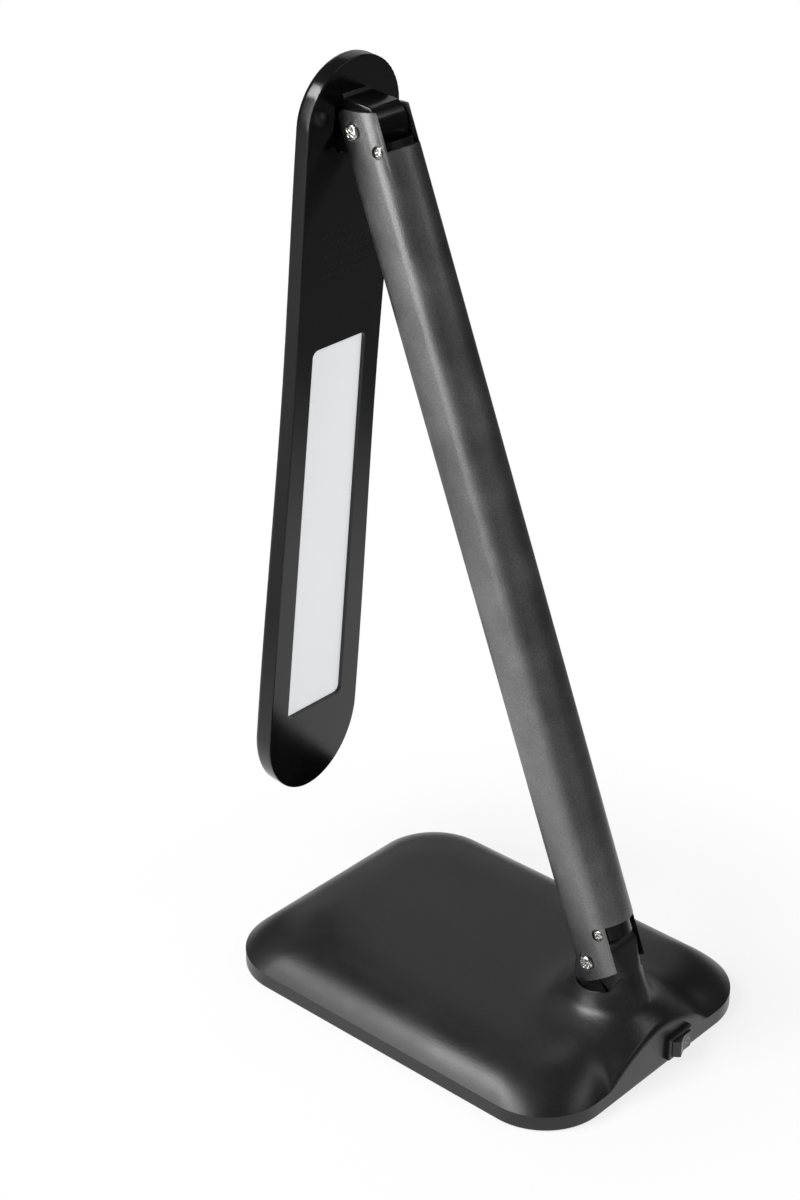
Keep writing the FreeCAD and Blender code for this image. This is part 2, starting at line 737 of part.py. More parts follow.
def led_chips():
    """Two rows of light-emitting chips on the board."""
    level = cover_floor - led_board_thickness
    first = window_start + led_end_inset
    pitch = (window_end - window_start - 2 * led_end_inset) / (led_column_count - 1)
    half_x = led_chip_width / 2
    half_z = led_chip_length / 2
    chips = []
    for row in (-led_row_half, led_row_half):
        for column in range(led_column_count):
            z = -first - pitch * column
            chips.append(box(row - half_x, row + half_x, -level, led_chip_height - level, z - half_z, z + half_z))
    return chips


def save_base():
    """Pieces that stay on the desk."""
    save("base_cover", [base_cover()])
    save("base_plate", [base_plate()])
    save("base_plate_screws", [base_screw(x, y) for x, y in boss_places()])
    save("antislip_pad", [base_slab(pad_inset, pad_round, 0, pad_thickness)])
    save("counterweight", [ballast()])
    save("counterweight_screws", [base_screw(x, y) for x, y in ballast_places()])
    save("driver_board", [driver_board()])
    save("driver_components", driver_components())
    save("power_inlet", [power_inlet()])
    save("switch_housing", [switch_housing()])
    save("switch_terminals", switch_terminals())
    save("switch_rocker", [switch_rocker()])


def save_arm():
    """Pieces that swing with the arm."""
    def arm(name, shapes):
        save(name, [placed(shape, arm_lean_degrees, lower_pivot) for shape in shapes])
    arm("arm_tube", [arm_tube()])
    arm("arm_lower_plug", [arm_plug(lower_plug_start, plug_depth, 0, tongue_radius, lower_plug_screw)])
    arm("arm_upper_plug", [arm_plug(arm_span - plug_depth, arm_span - upper_plug_start, arm_span,
                                    knuckle_radius, arm_span - upper_plug_screw)])
    arm("arm_plug_screws", plug_screws())
    arm("arm_cable", [arm_cable()])
    for name, z in (("lower", 0), ("upper", arm_span)):
        screws, sleeve, washers = pivot_set(z)
        arm(name + "_pivot_screws", screws)
        arm(name + "_pivot_sleeve", sleeve)
        arm(name + "_friction_washers", washers)


def save_head():
    """Pieces that tilt with the lamp head."""
    def head(name, shapes):
        save(name, [placed(shape, -head_hang_degrees, upper_pivot) for shape in shapes])
    head("head_cover", [head_cover()])
    head("head_bezel", [head_bezel()])
    head("diffuser", [window_slab(diffuser_flange, bezel_back, bezel_back + diffuser_thickness)])
    head("led_board", [window_slab(led_board_margin, cover_floor - led_board_thickness, cover_floor)])
    head("led_chips", led_chips())


os.makedirs("parts", exist_ok=True)
save_base()
save_arm()
save_head()
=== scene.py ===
import bmesh
import bpy
import numpy as np
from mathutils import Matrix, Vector


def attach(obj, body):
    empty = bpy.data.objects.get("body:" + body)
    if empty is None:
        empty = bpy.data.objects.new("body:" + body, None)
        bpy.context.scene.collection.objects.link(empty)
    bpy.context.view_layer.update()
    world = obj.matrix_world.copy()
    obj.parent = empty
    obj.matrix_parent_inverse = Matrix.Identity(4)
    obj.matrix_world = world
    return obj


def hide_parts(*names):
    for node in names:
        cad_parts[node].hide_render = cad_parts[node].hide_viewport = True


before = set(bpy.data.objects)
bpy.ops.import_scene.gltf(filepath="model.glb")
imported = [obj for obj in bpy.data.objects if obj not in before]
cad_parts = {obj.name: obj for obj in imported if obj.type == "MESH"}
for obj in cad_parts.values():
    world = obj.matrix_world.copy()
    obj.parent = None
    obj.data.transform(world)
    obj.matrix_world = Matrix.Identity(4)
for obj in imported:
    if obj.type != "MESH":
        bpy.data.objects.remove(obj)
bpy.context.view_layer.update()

# %% [markdown]
# # A folding desk lamp
#
# The lamp is a weighted pillow-shaped base with a flared neck, a D-section arm with forked ends, and a flat
# glossy head with a light panel. The frame brings the solids in their true places, in metres. This lesson
# dresses them: the base gets a smooth skin worked out as a height over rings, most other visible pieces get
# smooth copies of their own meshes, and each finish is built from noise.

# %% Working values: lengths in millimetres, welds in metres
MM = 0.001
PIVOT_LOW = np.array([0.0, 63.3, 44.9])
PIVOT_TOP = np.array([0.0, -65.342, 371.477])
ARM_LEAN = np.radians(21.5)
HEAD_HANG = np.radians(5.77)
ACROSS = np.array([1.0, 0.0, 0.0])
UPRIGHT = np.array([0.0, 0.0, 1.0])
SMOOTH_LIMIT = float(np.radians(32))
WELD_GRID, WELD_COPY = 1e-7, 2e-6

# %% [markdown]
# Every new piece is one or more grids of points. A grid's rows and columns are joined into four-sided faces,
# a row that shrinks to one point closes a pole, and merging equal points closes the seams. Working on whole
# arrays keeps this quick and leaves the shapes as plain formulas.

# %% From grids of points to a mesh
def grid_faces(rows, columns, first):
    """Corner numbers of a ring grid's cells: each joins a point, its right, lower right and lower one."""
    number = first + np.arange(rows * columns).reshape(rows, columns)
    right = np.roll(number, -1, axis=1)
    return np.stack([number[:-1], right[:-1], right[1:], number[1:]], axis=-1).reshape(-1, 4)


def mesh_from_grids(name, grids):
    """One object from several grids in millimetres, with doubles merged and all faces turned outwards."""
    points = np.concatenate([np.asarray(grid).reshape(-1, 3) for grid in grids]) * MM
    sizes = [np.asarray(grid).shape[:2] for grid in grids]
    starts = np.cumsum([0] + [rows * columns for rows, columns in sizes])
    faces = np.concatenate([grid_faces(rows, columns, start)
                            for (rows, columns), start in zip(sizes, starts)])
    mesh = bpy.data.meshes.new(name)
    mesh.vertices.add(len(points))
    mesh.vertices.foreach_set("co", points.ravel())
    mesh.loops.add(faces.size)
    mesh.loops.foreach_set("vertex_index", faces.ravel().astype(np.int32))
    mesh.polygons.add(len(faces))
    mesh.polygons.foreach_set("loop_start", np.arange(0, faces.size, 4, dtype=np.int32))
    mesh.update(calc_edges=True)
    return finish_mesh(name, mesh, WELD_GRID)


def finish_mesh(name, mesh, weld, flats=False):
    """Welds points closer than a distance in metres, turns faces outwards, and smooths all but sharp edges.

    With flats, the large faces rule the shading, so that panels with small rounds stay flat.
    """
    shape = bmesh.new()
    shape.from_mesh(mesh)
    bmesh.ops.remove_doubles(shape, verts=shape.verts, dist=weld)
    bmesh.ops.dissolve_degenerate(shape, dist=WELD_GRID, edges=shape.edges)
    bmesh.ops.recalc_face_normals(shape, faces=shape.faces)
    for face in shape.faces:
        face.smooth = True
    for edge in shape.edges:
        edge.smooth = edge.calc_face_angle(0) < SMOOTH_LIMIT
    shape.to_mesh(mesh)
    shape.free()
    piece = bpy.data.objects.new(name, mesh)
    bpy.context.scene.collection.objects.link(piece)
    if flats:
        piece.modifiers.new("flat panels", "WEIGHTED_NORMAL").keep_sharp = True
    print("%-22s %6d faces" % (name, len(mesh.polygons)))
    return piece


# %% [markdown]
# Pieces whose own solid is already right only need clean shading, so they are copies of it. Each piece then
# rides on its body, takes its finish, and stands for the nodes that it covers.

# %% Copies and dressing
def smooth_copy(node, flats):
    """A welded, smoothly shaded copy of a frame node."""
    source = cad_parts[node]
    mesh = source.data.copy()
    mesh.transform(source.matrix_world)
    mesh.materials.clear()
    return finish_mesh(node + "_skin", mesh, WELD_COPY, flats)


def dress(piece, body, slot, material, *nodes):
    """Gives a piece its body and its finish, and lets it stand for its nodes. The slot is not used."""
    piece.data.materials.append(material)
    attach(piece, body)
    if nodes:
        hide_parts(*nodes)


print("frame nodes:", len(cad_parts))

# %% [markdown]
# Finishes come from one builder. Two noises on object coordinates do the work: a slow one shifts the colour
# and the roughness a little, as handling and moulding do, and a fine one gives the grain as a bump and, in
# some finishes, flecks the colour. Plain numbers stay on the nodes' own sockets.

# %% A builder for finishes
SLOW_SCALE, SLOW_DETAIL, FINE_DETAIL = 45.0, 4.0, 3.0
SLOW_LOW, SLOW_HIGH = 0.3, 0.7
FLAKE_LOW, FLAKE_HIGH = 0.35, 0.65
SMOOTHEST, BUMP_DEPTH = 0.02, 0.1 * MM


def add_node(tree, kind, **values):
    """New node with plain values on the sockets of these names, where an underscore stands for a space."""
    node = tree.nodes.new(kind)
    for name, value in values.items():
        node.inputs[name.replace("_", " ")].default_value = value
    return node


def finish(name, colour, roughness, grain, bump, metal=0.0, speckle=0.0, tint=0.15, wander=0.06, gloss=0.5):
    """Principled finish: colour x (1 +- tint) and roughness +- wander by slow noise, grain in mm as a bump.

    With a speckle, the same grain also multiplies the colour by 1 +- speckle, as flakes in a paint do.
    """
    material = bpy.data.materials.new(name)
    material.use_nodes = True
    tree = material.node_tree
    link = tree.links.new
    shader = tree.nodes["Principled BSDF"]
    shader.inputs["Metallic"].default_value = metal
    shader.inputs["Specular IOR Level"].default_value = gloss
    place = add_node(tree, "ShaderNodeTexCoord")
    slow = add_node(tree, "ShaderNodeTexNoise", Scale=SLOW_SCALE, Detail=SLOW_DETAIL)
    fine = add_node(tree, "ShaderNodeTexNoise", Scale=1.0 / (grain * MM), Detail=FINE_DETAIL)
    link(place.outputs["Object"], slow.inputs["Vector"])
    link(place.outputs["Object"], fine.inputs["Vector"])
    shade = add_node(tree, "ShaderNodeValToRGB")
    for stop, position, change in zip(shade.color_ramp.elements, (SLOW_LOW, SLOW_HIGH), (1 - tint, 1 + tint)):
        stop.position = position
        stop.color = (*[min(1.0, channel * change) for channel in colour], 1)
    link(slow.outputs["Fac"], shade.inputs["Fac"])
    rough = add_node(tree, "ShaderNodeMapRange", From_Min=SLOW_LOW, From_Max=SLOW_HIGH,
                     To_Min=max(SMOOTHEST, roughness - wander), To_Max=min(1.0, roughness + wander))
    link(slow.outputs["Fac"], rough.inputs["Value"])
    link(rough.outputs["Result"], shader.inputs["Roughness"])
    flakes = add_node(tree, "ShaderNodeMapRange", From_Min=FLAKE_LOW, From_Max=FLAKE_HIGH,
                      To_Min=1 - speckle, To_Max=1 + speckle)
    link(fine.outputs["Fac"], flakes.inputs["Value"])
    flecked = add_node(tree, "ShaderNodeVectorMath")
    flecked.operation = "SCALE"
    link(shade.outputs["Color"], flecked.inputs[0])
    link(flakes.outputs["Result"], flecked.inputs["Scale"])
    link(flecked.outputs["Vector"], shader.inputs["Base Color"])
    relief = add_node(tree, "ShaderNodeBump", Strength=bump, Distance=BUMP_DEPTH)
    link(fine.outputs["Fac"], relief.inputs["Height"])
    link(relief.outputs["Normal"], shader.inputs["Normal"])
    return material


# %% [markdown]
# The casing is moulded with a fine satin texture and the head is polished. The arm's paint holds metal
# flakes, so it is built as a dark metal. The diffuser is opal plastic with its lamp off, yet it carries an
# even emission: a painted glow that lights it evenly and hides the arm's shadow on it.

# %% Finishes of the visible pieces
casing_black = finish("satin black casing", (0.012, 0.012, 0.0125), 0.35, 0.6, 0.5, speckle=0.2, gloss=0.45)
arm_black = finish("satin black arm", (0.24, 0.24, 0.243), 0.38, 0.5, 0.8, metal=1.0, speckle=0.2)
head_black = finish("gloss black head", (0.005, 0.005, 0.0055), 0.16, 6.0, 0.03, wander=0.03, gloss=0.4)
plug_black = finish("dark plug plastic", (0.006, 0.006, 0.006), 0.2, 2.0, 0.1)
switch_black = finish("switch plastic", (0.02, 0.02, 0.021), 0.33, 0.6, 0.2)
screw_steel = finish("screw steel", (0.62, 0.61, 0.58), 0.24, 0.35, 0.15, metal=1.0, wander=0.08)
opal_painted_glow = finish("opal diffuser", (0.88, 0.88, 0.88), 0.5, 1.2, 0.05, tint=0.02)
# Painted glow: the panel's lamp is off, and this emission lights the panel evenly and hides the arm's shadow
# on it.
opal_painted_glow.node_tree.nodes["Principled BSDF"].inputs["Emission Color"].default_value = (0.95, 0.97, 1.0, 1)
opal_painted_glow.node_tree.nodes["Principled BSDF"].inputs["Emission Strength"].default_value = 0.56
mark_white = finish("mark white", (0.75, 0.75, 0.73), 0.5, 0.3, 0.1, tint=0.03)
print("finishes:", len(bpy.data.materials))

# %% [markdown]
# The base is a pillow with a flared neck. A box-modelled cage would need many loops to hold the steep rim
# and the flare at once, so the skin is a height instead: rays run from the neck's axis to the outline, and on
# each ray the height is the larger of the pillow and the bell, eased where they meet. First come the outline,
# where the rays end, and a smooth curve through a few given values.

# %% Sizes of the base, its outline and smooth curves
HALF_X, HALF_Y, CORNER = 70.0, 95.0, 29.0
RIM_BOTTOM, RIM_TOP = 0.6, 7.5
CORNER_POINTS, SIDE_POINTS, FRONT_POINTS = 49, 91, 46


def outline(inset):
    """Rounded rectangle drawn in by an inset, as points that run round from the middle of the rear side."""
    radius = CORNER - inset
    x, y = HALF_X - CORNER, HALF_Y - CORNER
    turn = np.linspace(0, np.pi / 2, CORNER_POINTS)[1:]
    rear = np.linspace(0, -x, SIDE_POINTS)
    parts = [np.c_[rear, np.full(rear.size, HALF_Y - inset)]]
    parts.append(np.c_[-x - radius * np.sin(turn), y + radius * np.cos(turn)])
    side = np.linspace(y, -y, SIDE_POINTS)[1:]
    parts.append(np.c_[np.full(side.size, inset - HALF_X), side])
    parts.append(np.c_[-x - radius * np.cos(turn), -y - radius * np.sin(turn)])
    front = np.linspace(-x, 0, FRONT_POINTS)[1:]
    parts.append(np.c_[front, np.full(front.size, inset - HALF_Y)])
    half = np.concatenate(parts)
    return np.concatenate([half, (half * (-1, 1))[-2:0:-1]])


def eased(levels, values, at):
    """Smooth curve through a few values: cubic pieces whose slopes come from the neighbouring values."""
    order = np.argsort(levels)
    knots, heights = levels[order], values[order]
    slopes = np.gradient(heights, knots)
    at = np.clip(at, knots[0], knots[-1])
    i = np.clip(np.searchsorted(knots, at) - 1, 0, len(knots) - 2)
    span = knots[i + 1] - knots[i]
    t = (at - knots[i]) / span
    return ((1 + 2 * t) * (1 - t) ** 2 * heights[i] + t * (1 - t) ** 2 * span * slopes[i]
            + t * t * (3 - 2 * t) * heights[i + 1] + t * t * (t - 1) * span * slopes[i + 1])


print("rays of the base:", len(outline(0.0)))

# %% [markdown]
# The pillow rises from the rim at a steep slope and flattens toward the middle, which gives the casing the
# sharp line above its rim and the soft highlight beside it. The neck is a bell of ellipses, given at seven
# levels and smooth between them.

# %% Pillow and bell
CROWN_RISE, CROWN_REACH, CROWN_POWER = 12.6, 38.0, 3.5
CORNER_SHRINK, HALVINGS = 0.3, 28
NECK_Y = 68.3
NECK_LEVELS = np.array([42.0, 34.0, 27.0, 21.6, 16.0, 9.0, 0.6])
NECK_HALF_X = np.array([12.8, 13.5, 17.2, 24.2, 31.9, 39.6, 48.0])
NECK_HALF_Y = np.array([11.9, 15.8, 20.0, 26.7, 34.7, 44.3, 55.0])
BELL_TOP, BELL_STEPS, BELL_FALL = 46.0, 140, 30


def pillow(x, y):
    """Height of the pillow and inset from the outline, which is found by halving.

    The rise over the rim is the crown's rise x (1 - (1 - inset / reach) to a power).
    """
    low, high = np.zeros_like(x), np.full_like(x, CROWN_REACH)
    for _ in range(HALVINGS):
        inset = (low + high) / 2
        radius = CORNER - CORNER_SHRINK * inset
        over_x = np.abs(x) - (HALF_X - inset - radius)
        over_y = np.abs(y) - (HALF_Y - inset - radius)
        outside = np.hypot(np.maximum(over_x, 0), np.maximum(over_y, 0))
        beyond = outside + np.minimum(np.maximum(over_x, over_y), 0) - radius
        low, high = np.where(beyond < 0, inset, low), np.where(beyond < 0, high, inset)
    share = (low + high) / 2 / CROWN_REACH
    rise = CROWN_RISE * (1 - (1 - share) ** CROWN_POWER)
    return RIM_TOP + rise, share * CROWN_REACH


def bell(x, y):
    """Height of the flared neck over a point: the level whose ellipse passes through it."""
    levels = np.linspace(BELL_TOP, RIM_BOTTOM, BELL_STEPS)
    wide, long = eased(NECK_LEVELS, NECK_HALF_X, levels), eased(NECK_LEVELS, NECK_HALF_Y, levels)
    reach = np.hypot(x[..., None] / wide, (y[..., None] - NECK_Y) / long)
    inside = reach < 1
    k = np.clip(np.argmax(inside, axis=-1), 1, None)
    a = np.take_along_axis(reach, k[..., None] - 1, -1)[..., 0]
    b = np.take_along_axis(reach, k[..., None], -1)[..., 0]
    share = np.clip((a - 1) / np.where(a - b > 1e-9, a - b, 1), 0, 1)
    height = levels[k - 1] + (levels[k] - levels[k - 1]) * share
    return np.where(inside.any(axis=-1), height, RIM_BOTTOM - BELL_FALL * (reach[..., -1] - 1))


print("height at the middle of the base:", pillow(np.zeros(1), np.zeros(1))[0].round(1).tolist())

# %% [markdown]
# The neck ends in a lip that passes under the arm's cheeks and climbs toward the rear. It has to stay below
# the circle that the cheeks sweep, or the arm would cut into it when it is put upright. The lip is found on
# each ray by a few halfway steps, because its height and its place on the ray depend on each other.

# %% Lip of the neck
LIP_ALONG = np.array([-30.0, -3.5, 3.8, 8.0, 11.5, 13.0, 15.2, 18.0, 40.0])
LIP_DROP = np.array([-12.4, -12.2, -11.2, -10.1, -9.7, -8.5, -3.6, -0.6, 17.0])
LIP_GUESS, LIP_TOP, LIP_STEPS = 34.0, 42.0, 12


def lip_height(y):
    """Height of the lip along the lamp: nearly level in front, then a curve that climbs toward the rear."""
    return PIVOT_LOW[2] + eased(LIP_ALONG, LIP_DROP, y - PIVOT_LOW[1])


def neck_reach(way, level):
    """Distance from the neck's axis to its ellipse at a level, along unit directions."""
    wide, long = eased(NECK_LEVELS, NECK_HALF_X, level), eased(NECK_LEVELS, NECK_HALF_Y, level)
    return 1 / np.hypot(way[:, 0] / wide, way[:, 1] / long)


def lip_levels(way):
    """Level of the lip on each ray: each step goes halfway to the height wanted where the ray now ends."""
    level = np.full(len(way), LIP_GUESS)
    for _ in range(LIP_STEPS):
        foot = neck_reach(way, level)[:, None] * way + (0.0, NECK_Y)
        level = 0.5 * level + 0.5 * np.minimum(lip_height(foot[:, 1]), LIP_TOP)
    return level


print("lip at the pivot, in mm:", lip_height(PIVOT_LOW[1:2]).round(1).tolist())

# %% [markdown]
# The skin is one stack of rings: a cup inside the lip, the rounded lip, the flare and the pillow, the upright
# rim, and a foot that turns under the base. The pillow and the bell are joined by a soft maximum, tight at
# the rim and wide farther in, so that the arch over the switch keeps its edge. That edge is rounded a little.

# %% Casing
TURN_LEVEL, NECK_ROWS, PILLOW_ROWS, RIM_ROWS = 25.0, 34, 83, 13
EASE_RIM, EASE_GAIN, EASE_REACH = 0.35, 2.6, 14
ARCH_FOOT, ARCH_FADE, ARCH_ROUND = 8.0, 2, 2.0
LIP_WALL, CUP_FLOOR = 1.0, 29.0
LIP_EDGE = ((LIP_WALL, 0.05), (0.8, 0.28), (0.45, 0.36), (0.12, 0.24))
FOOT_ROUND, FOOT_BEND, FOOT_WIDTH, UNDERSIDE = 0.4, 0.12, 2.8, 3.35


def flare_and_pillow(way, far):
    """Rows from the lip to the rim: height = pillow + s ln(1 + exp((bell - pillow) / s)), s the softness."""
    lip = lip_levels(way)
    levels = lip + (TURN_LEVEL - lip) * np.linspace(0, 1, NECK_ROWS)[:, None]
    near = np.array([neck_reach(way, level) for level in levels])
    spread = (1 - np.cos(np.pi * np.linspace(0, 1, PILLOW_ROWS + 1)[1:])) / 2
    outer = near[-1] + (far - near[-1]) * spread[:, None]
    reach = np.concatenate([near, outer])
    plan = reach[..., None] * way + (0.0, NECK_Y)
    x, y = plan[..., 0], plan[..., 1]
    soft_top, inset = pillow(x, y)
    flare = bell(x, y)
    flare[:NECK_ROWS] = levels
    ease = EASE_RIM + EASE_GAIN * np.clip(inset / EASE_REACH, 0, 1)
    z = soft_top + ease * np.logaddexp(0, (flare - soft_top) / ease)
    arch = np.clip((z[-1] - ARCH_FOOT) / ARCH_FADE, 0, 1)
    left = np.clip(ARCH_ROUND - (far - reach), 0, ARCH_ROUND)
    return np.dstack([x, y, z - arch * (ARCH_ROUND - np.sqrt(ARCH_ROUND ** 2 - left ** 2))])


def casing_rings():
    """Rows of the skin from the cup inside the lip, over flare and pillow, down the rim to the foot."""
    rim = outline(0.0)
    ray = rim - (0.0, NECK_Y)
    far = np.hypot(*ray.T)
    way = ray / far[:, None]
    skin = flare_and_pillow(way, far)
    first, last = skin[0], skin[-1]

    def level_ring(plan, height):
        return np.c_[plan, np.full(len(rim), height)]

    def pole(*point):
        return np.tile(point, (len(rim), 1))

    inward = -np.c_[way, np.zeros(len(way))]
    cup = [pole(0.0, NECK_Y, CUP_FLOOR), level_ring((first + inward * LIP_WALL)[:, :2], CUP_FLOOR)]
    cup += [first + inward * depth + UPRIGHT * rise for depth, rise in LIP_EDGE]
    drop = np.linspace(0, 1, RIM_ROWS + 1)[1:, None, None]
    skirt = last + (level_ring(last[:, :2], RIM_BOTTOM + FOOT_ROUND) - last) * drop
    foot = [level_ring(outline(FOOT_BEND), RIM_BOTTOM + FOOT_BEND),
            level_ring(outline(FOOT_ROUND), RIM_BOTTOM),
            level_ring(outline(FOOT_WIDTH), RIM_BOTTOM),
            level_ring(outline(FOOT_WIDTH), UNDERSIDE),
            pole(0.0, 0.0, UNDERSIDE)]
    return np.concatenate([np.array(cup), skin, skirt, np.array(foot)])


casing_grid = casing_rings()
print("rows and columns of the casing:", casing_grid.shape[:2])

# %% [markdown]
# The hinge tongue stands in the neck between the arm's cheeks. Its side view is round about the pivot and
# runs down a straight flank into the neck. The same outline is carried across the lamp and drawn in near both
# sides, which rounds its edges: little at the top, more along the flank, so that it flows into the neck.

# %% Hinge tongue
TONGUE_HALF, TONGUE_POLE = 8.5, (8.5, 4.0, -6.0)
CREST_RADIUS, CREST_FROM, CREST_TO = 14.2, 119.5, 39.0
TONGUE_ROOT = np.array([[25.5, -20.5], [20.0, -24.0], [-9.5, -24.0]])
EDGE_TOP, EDGE_GROWTH, EDGE_PACE = 1.2, 5.3, 2.4
CREST_POINTS, FLANK_POINTS, ROOT_POINTS, FRONT_STEPS, EDGE_ROWS = 50, 40, 12, 30, 9


def between(start, end, count):
    """Evenly spaced points from a start, which is left out, to an end."""
    return start + (end - start) * np.linspace(0, 1, count + 1)[1:, None]


def tongue_rings():
    """Outline carried across: at an angle a past the flat, x = half - r + r sin a, in by r (1 - cos a)."""
    turn = np.radians(np.linspace(CREST_FROM, CREST_TO, CREST_POINTS))
    crest = CREST_RADIUS * np.c_[np.cos(turn), np.sin(turn)]
    flank = between(crest[-1], TONGUE_ROOT[0], FLANK_POINTS)
    root = np.concatenate([between(a, b, ROOT_POINTS) for a, b in zip(TONGUE_ROOT, TONGUE_ROOT[1:])])
    front = between(TONGUE_ROOT[-1], crest[0], FRONT_STEPS)[:-1]
    loop = np.concatenate([crest, flank, root, front])
    share = np.linspace(0, 1, FLANK_POINTS + 1)[1:]
    edge = np.full(len(loop), EDGE_TOP)
    edge[CREST_POINTS:CREST_POINTS + FLANK_POINTS] += EDGE_GROWTH * np.clip(share * EDGE_PACE, 0, 1)
    tangent = np.roll(loop, -1, 0) - np.roll(loop, 1, 0)
    tangent /= np.linalg.norm(tangent, axis=1)[:, None]
    outward = np.c_[-tangent[:, 1], tangent[:, 0]]
    angle = np.linspace(0, np.pi / 2, EDGE_ROWS)[:, None]
    x = TONGUE_HALF - edge + edge * np.sin(angle)
    drawn = loop - outward * (edge * (1 - np.cos(angle)))[..., None]
    right = np.dstack([x, drawn[..., 0], drawn[..., 1]])
    left = right[::-1] * (-1, 1, 1)
    pole = np.tile(TONGUE_POLE, (1, len(loop), 1))
    return np.concatenate([pole * (-1, 1, 1), left, right, pole]) + PIVOT_LOW


base_skin = mesh_from_grids("base_casing", [casing_grid, tongue_rings()])
dress(base_skin, "base", "satin_black_casing", casing_black, "base_cover")

# %% [markdown]
# The arm's plugs, the head's two shells, the diffuser and the switch are moulded to plain profiles, and their
# solids already hold every seat and slot. Welding a copy and smoothing it by angle gives clean highlights
# with true edges.

# %% Pieces that keep their solid's shape
for node, body, slot, material, flats in (
        ("arm_lower_plug", "arm", "plug_plastic", plug_black, False),
        ("arm_upper_plug", "arm", "plug_plastic", plug_black, False),
        ("head_cover", "head", "gloss_black_head", head_black, True),
        ("head_bezel", "head", "gloss_black_head", head_black, True),
        ("diffuser", "head", "opal_diffuser", opal_painted_glow, True),
        ("switch_housing", "base", "switch_plastic", switch_black, True),
        ("switch_rocker", "rocker", "switch_plastic", switch_black, True)):
    dress(smooth_copy(node, flats), body, slot, material, node)

# %% [markdown]
# The arm is an extruded tube with a round back. Its sides aren't quite flat: they draw in toward the front,
# and that softens the long highlight. Modelling the forks again would be work for nothing, so a copy of the
# solid is sliced into strips, and then each point of the sides moves by one formula.

# %% Arm
ARM_AXIS = np.array([0.0, -np.sin(ARM_LEAN), np.cos(ARM_LEAN)])
ARM_BACK = np.array([0.0, np.cos(ARM_LEAN), np.sin(ARM_LEAN)])
ROUND_BACK, SIDE_DRAW, DRAW_DEPTH = 7.6, 1.3, 12.0
CHEEK_INNER, CHEEK_WALL = 9.2, 2.0
STRIPS = np.arange(-4.0, ROUND_BACK, 1.9)
LENGTHS = np.arange(20.0, 340.0, 16.0)


def in_arm(back, along):
    """Point of the arm's own frame, behind and along from the lower pivot, in the lamp's frame."""
    return PIVOT_LOW + back * ARM_BACK + along * ARM_AXIS


def sliced(mesh, cuts):
    """Cuts every face of a mesh along planes, each given by a point in millimetres and a normal."""
    shape = bmesh.new()
    shape.from_mesh(mesh)
    bmesh.ops.remove_doubles(shape, verts=shape.verts, dist=WELD_COPY)
    for point, normal in cuts:
        everything = [*shape.verts, *shape.edges, *shape.faces]
        bmesh.ops.bisect_plane(shape, geom=everything, plane_co=point * MM, plane_no=normal, dist=WELD_GRID)
    shape.to_mesh(mesh)
    shape.free()


def arm_skin():
    """Each side moves in by draw x (distance before the round back / depth) squared; inner walls stay."""
    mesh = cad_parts["arm_tube"].data.copy()
    mesh.materials.clear()
    lengthwise = [(in_arm(back, 0), ARM_BACK) for back in STRIPS]
    crosswise = [(in_arm(0, along), ARM_AXIS) for along in LENGTHS]
    sliced(mesh, lengthwise + crosswise)
    points = np.empty(3 * len(mesh.vertices))
    mesh.vertices.foreach_get("co", points)
    points = points.reshape(-1, 3) / MM
    ahead = np.maximum(ROUND_BACK - (points - PIVOT_LOW) @ ARM_BACK, 0)
    outer = np.clip((np.abs(points[:, 0]) - CHEEK_INNER) / CHEEK_WALL, 0, 1)
    points[:, 0] -= np.sign(points[:, 0]) * outer * SIDE_DRAW * (ahead / DRAW_DEPTH) ** 2
    mesh.vertices.foreach_set("co", (points * MM).ravel())
    return finish_mesh("arm_tube_skin", mesh, WELD_COPY)


dress(arm_skin(), "arm", "satin_black_arm", arm_black, "arm_tube")

# %% [markdown]
# Small round vents in the face, between the hinge and the light panel, let warm air out. Each is a low eyelet
# on the face, closed by a dark disc that is painted shade for the open hole: one profile turned about its own
# axis, repeated over a grid of places.

# %% Vents
FACE_OUT = np.array([0.0, np.cos(HEAD_HANG), -np.sin(HEAD_HANG)])
FACE_DOWN = np.array([0.0, -np.sin(HEAD_HANG), -np.cos(HEAD_HANG)])
FACE_OFFSET = 8.4
EYELET = [(0, -0.02), (0.5, -0.02), (0.56, 0.03), (0.7, 0.07), (0.84, 0.04), (0.9, -0.04), (0, -0.04)]
VENT_ROWS, VENT_COLUMNS = np.linspace(46.0, 64.0, 5), np.linspace(-12.25, 12.25, 8)


def turned(profile, centre, out, first, second, count=24):
    """Profile of radius and height, turned about an axis: point = centre + r (cos, sin) + height x out."""
    around = np.linspace(0, 2 * np.pi, count, endpoint=False)[None, :, None]
    radius, height = np.asarray(profile)[:, 0, None, None], np.asarray(profile)[:, 1, None, None]
    return centre + radius * (np.cos(around) * first + np.sin(around) * second) + height * np.asarray(out)


face_centre = PIVOT_TOP - FACE_OFFSET * FACE_OUT
vents = [turned(EYELET, face_centre + down * FACE_DOWN + x * ACROSS, FACE_OUT, ACROSS, FACE_DOWN)
         for down in VENT_ROWS for x in VENT_COLUMNS]
# The vents' closed discs take the dark plug plastic: painted shade where the open holes would be.
dress(mesh_from_grids("head_vents", vents), "head", "gloss_black_head", plug_black)

# %% [markdown]
# The rocker carries the two common marks, a bar and a ring. They are thin raised paint on its two faces, so
# each is a low dome on the plane of its face.

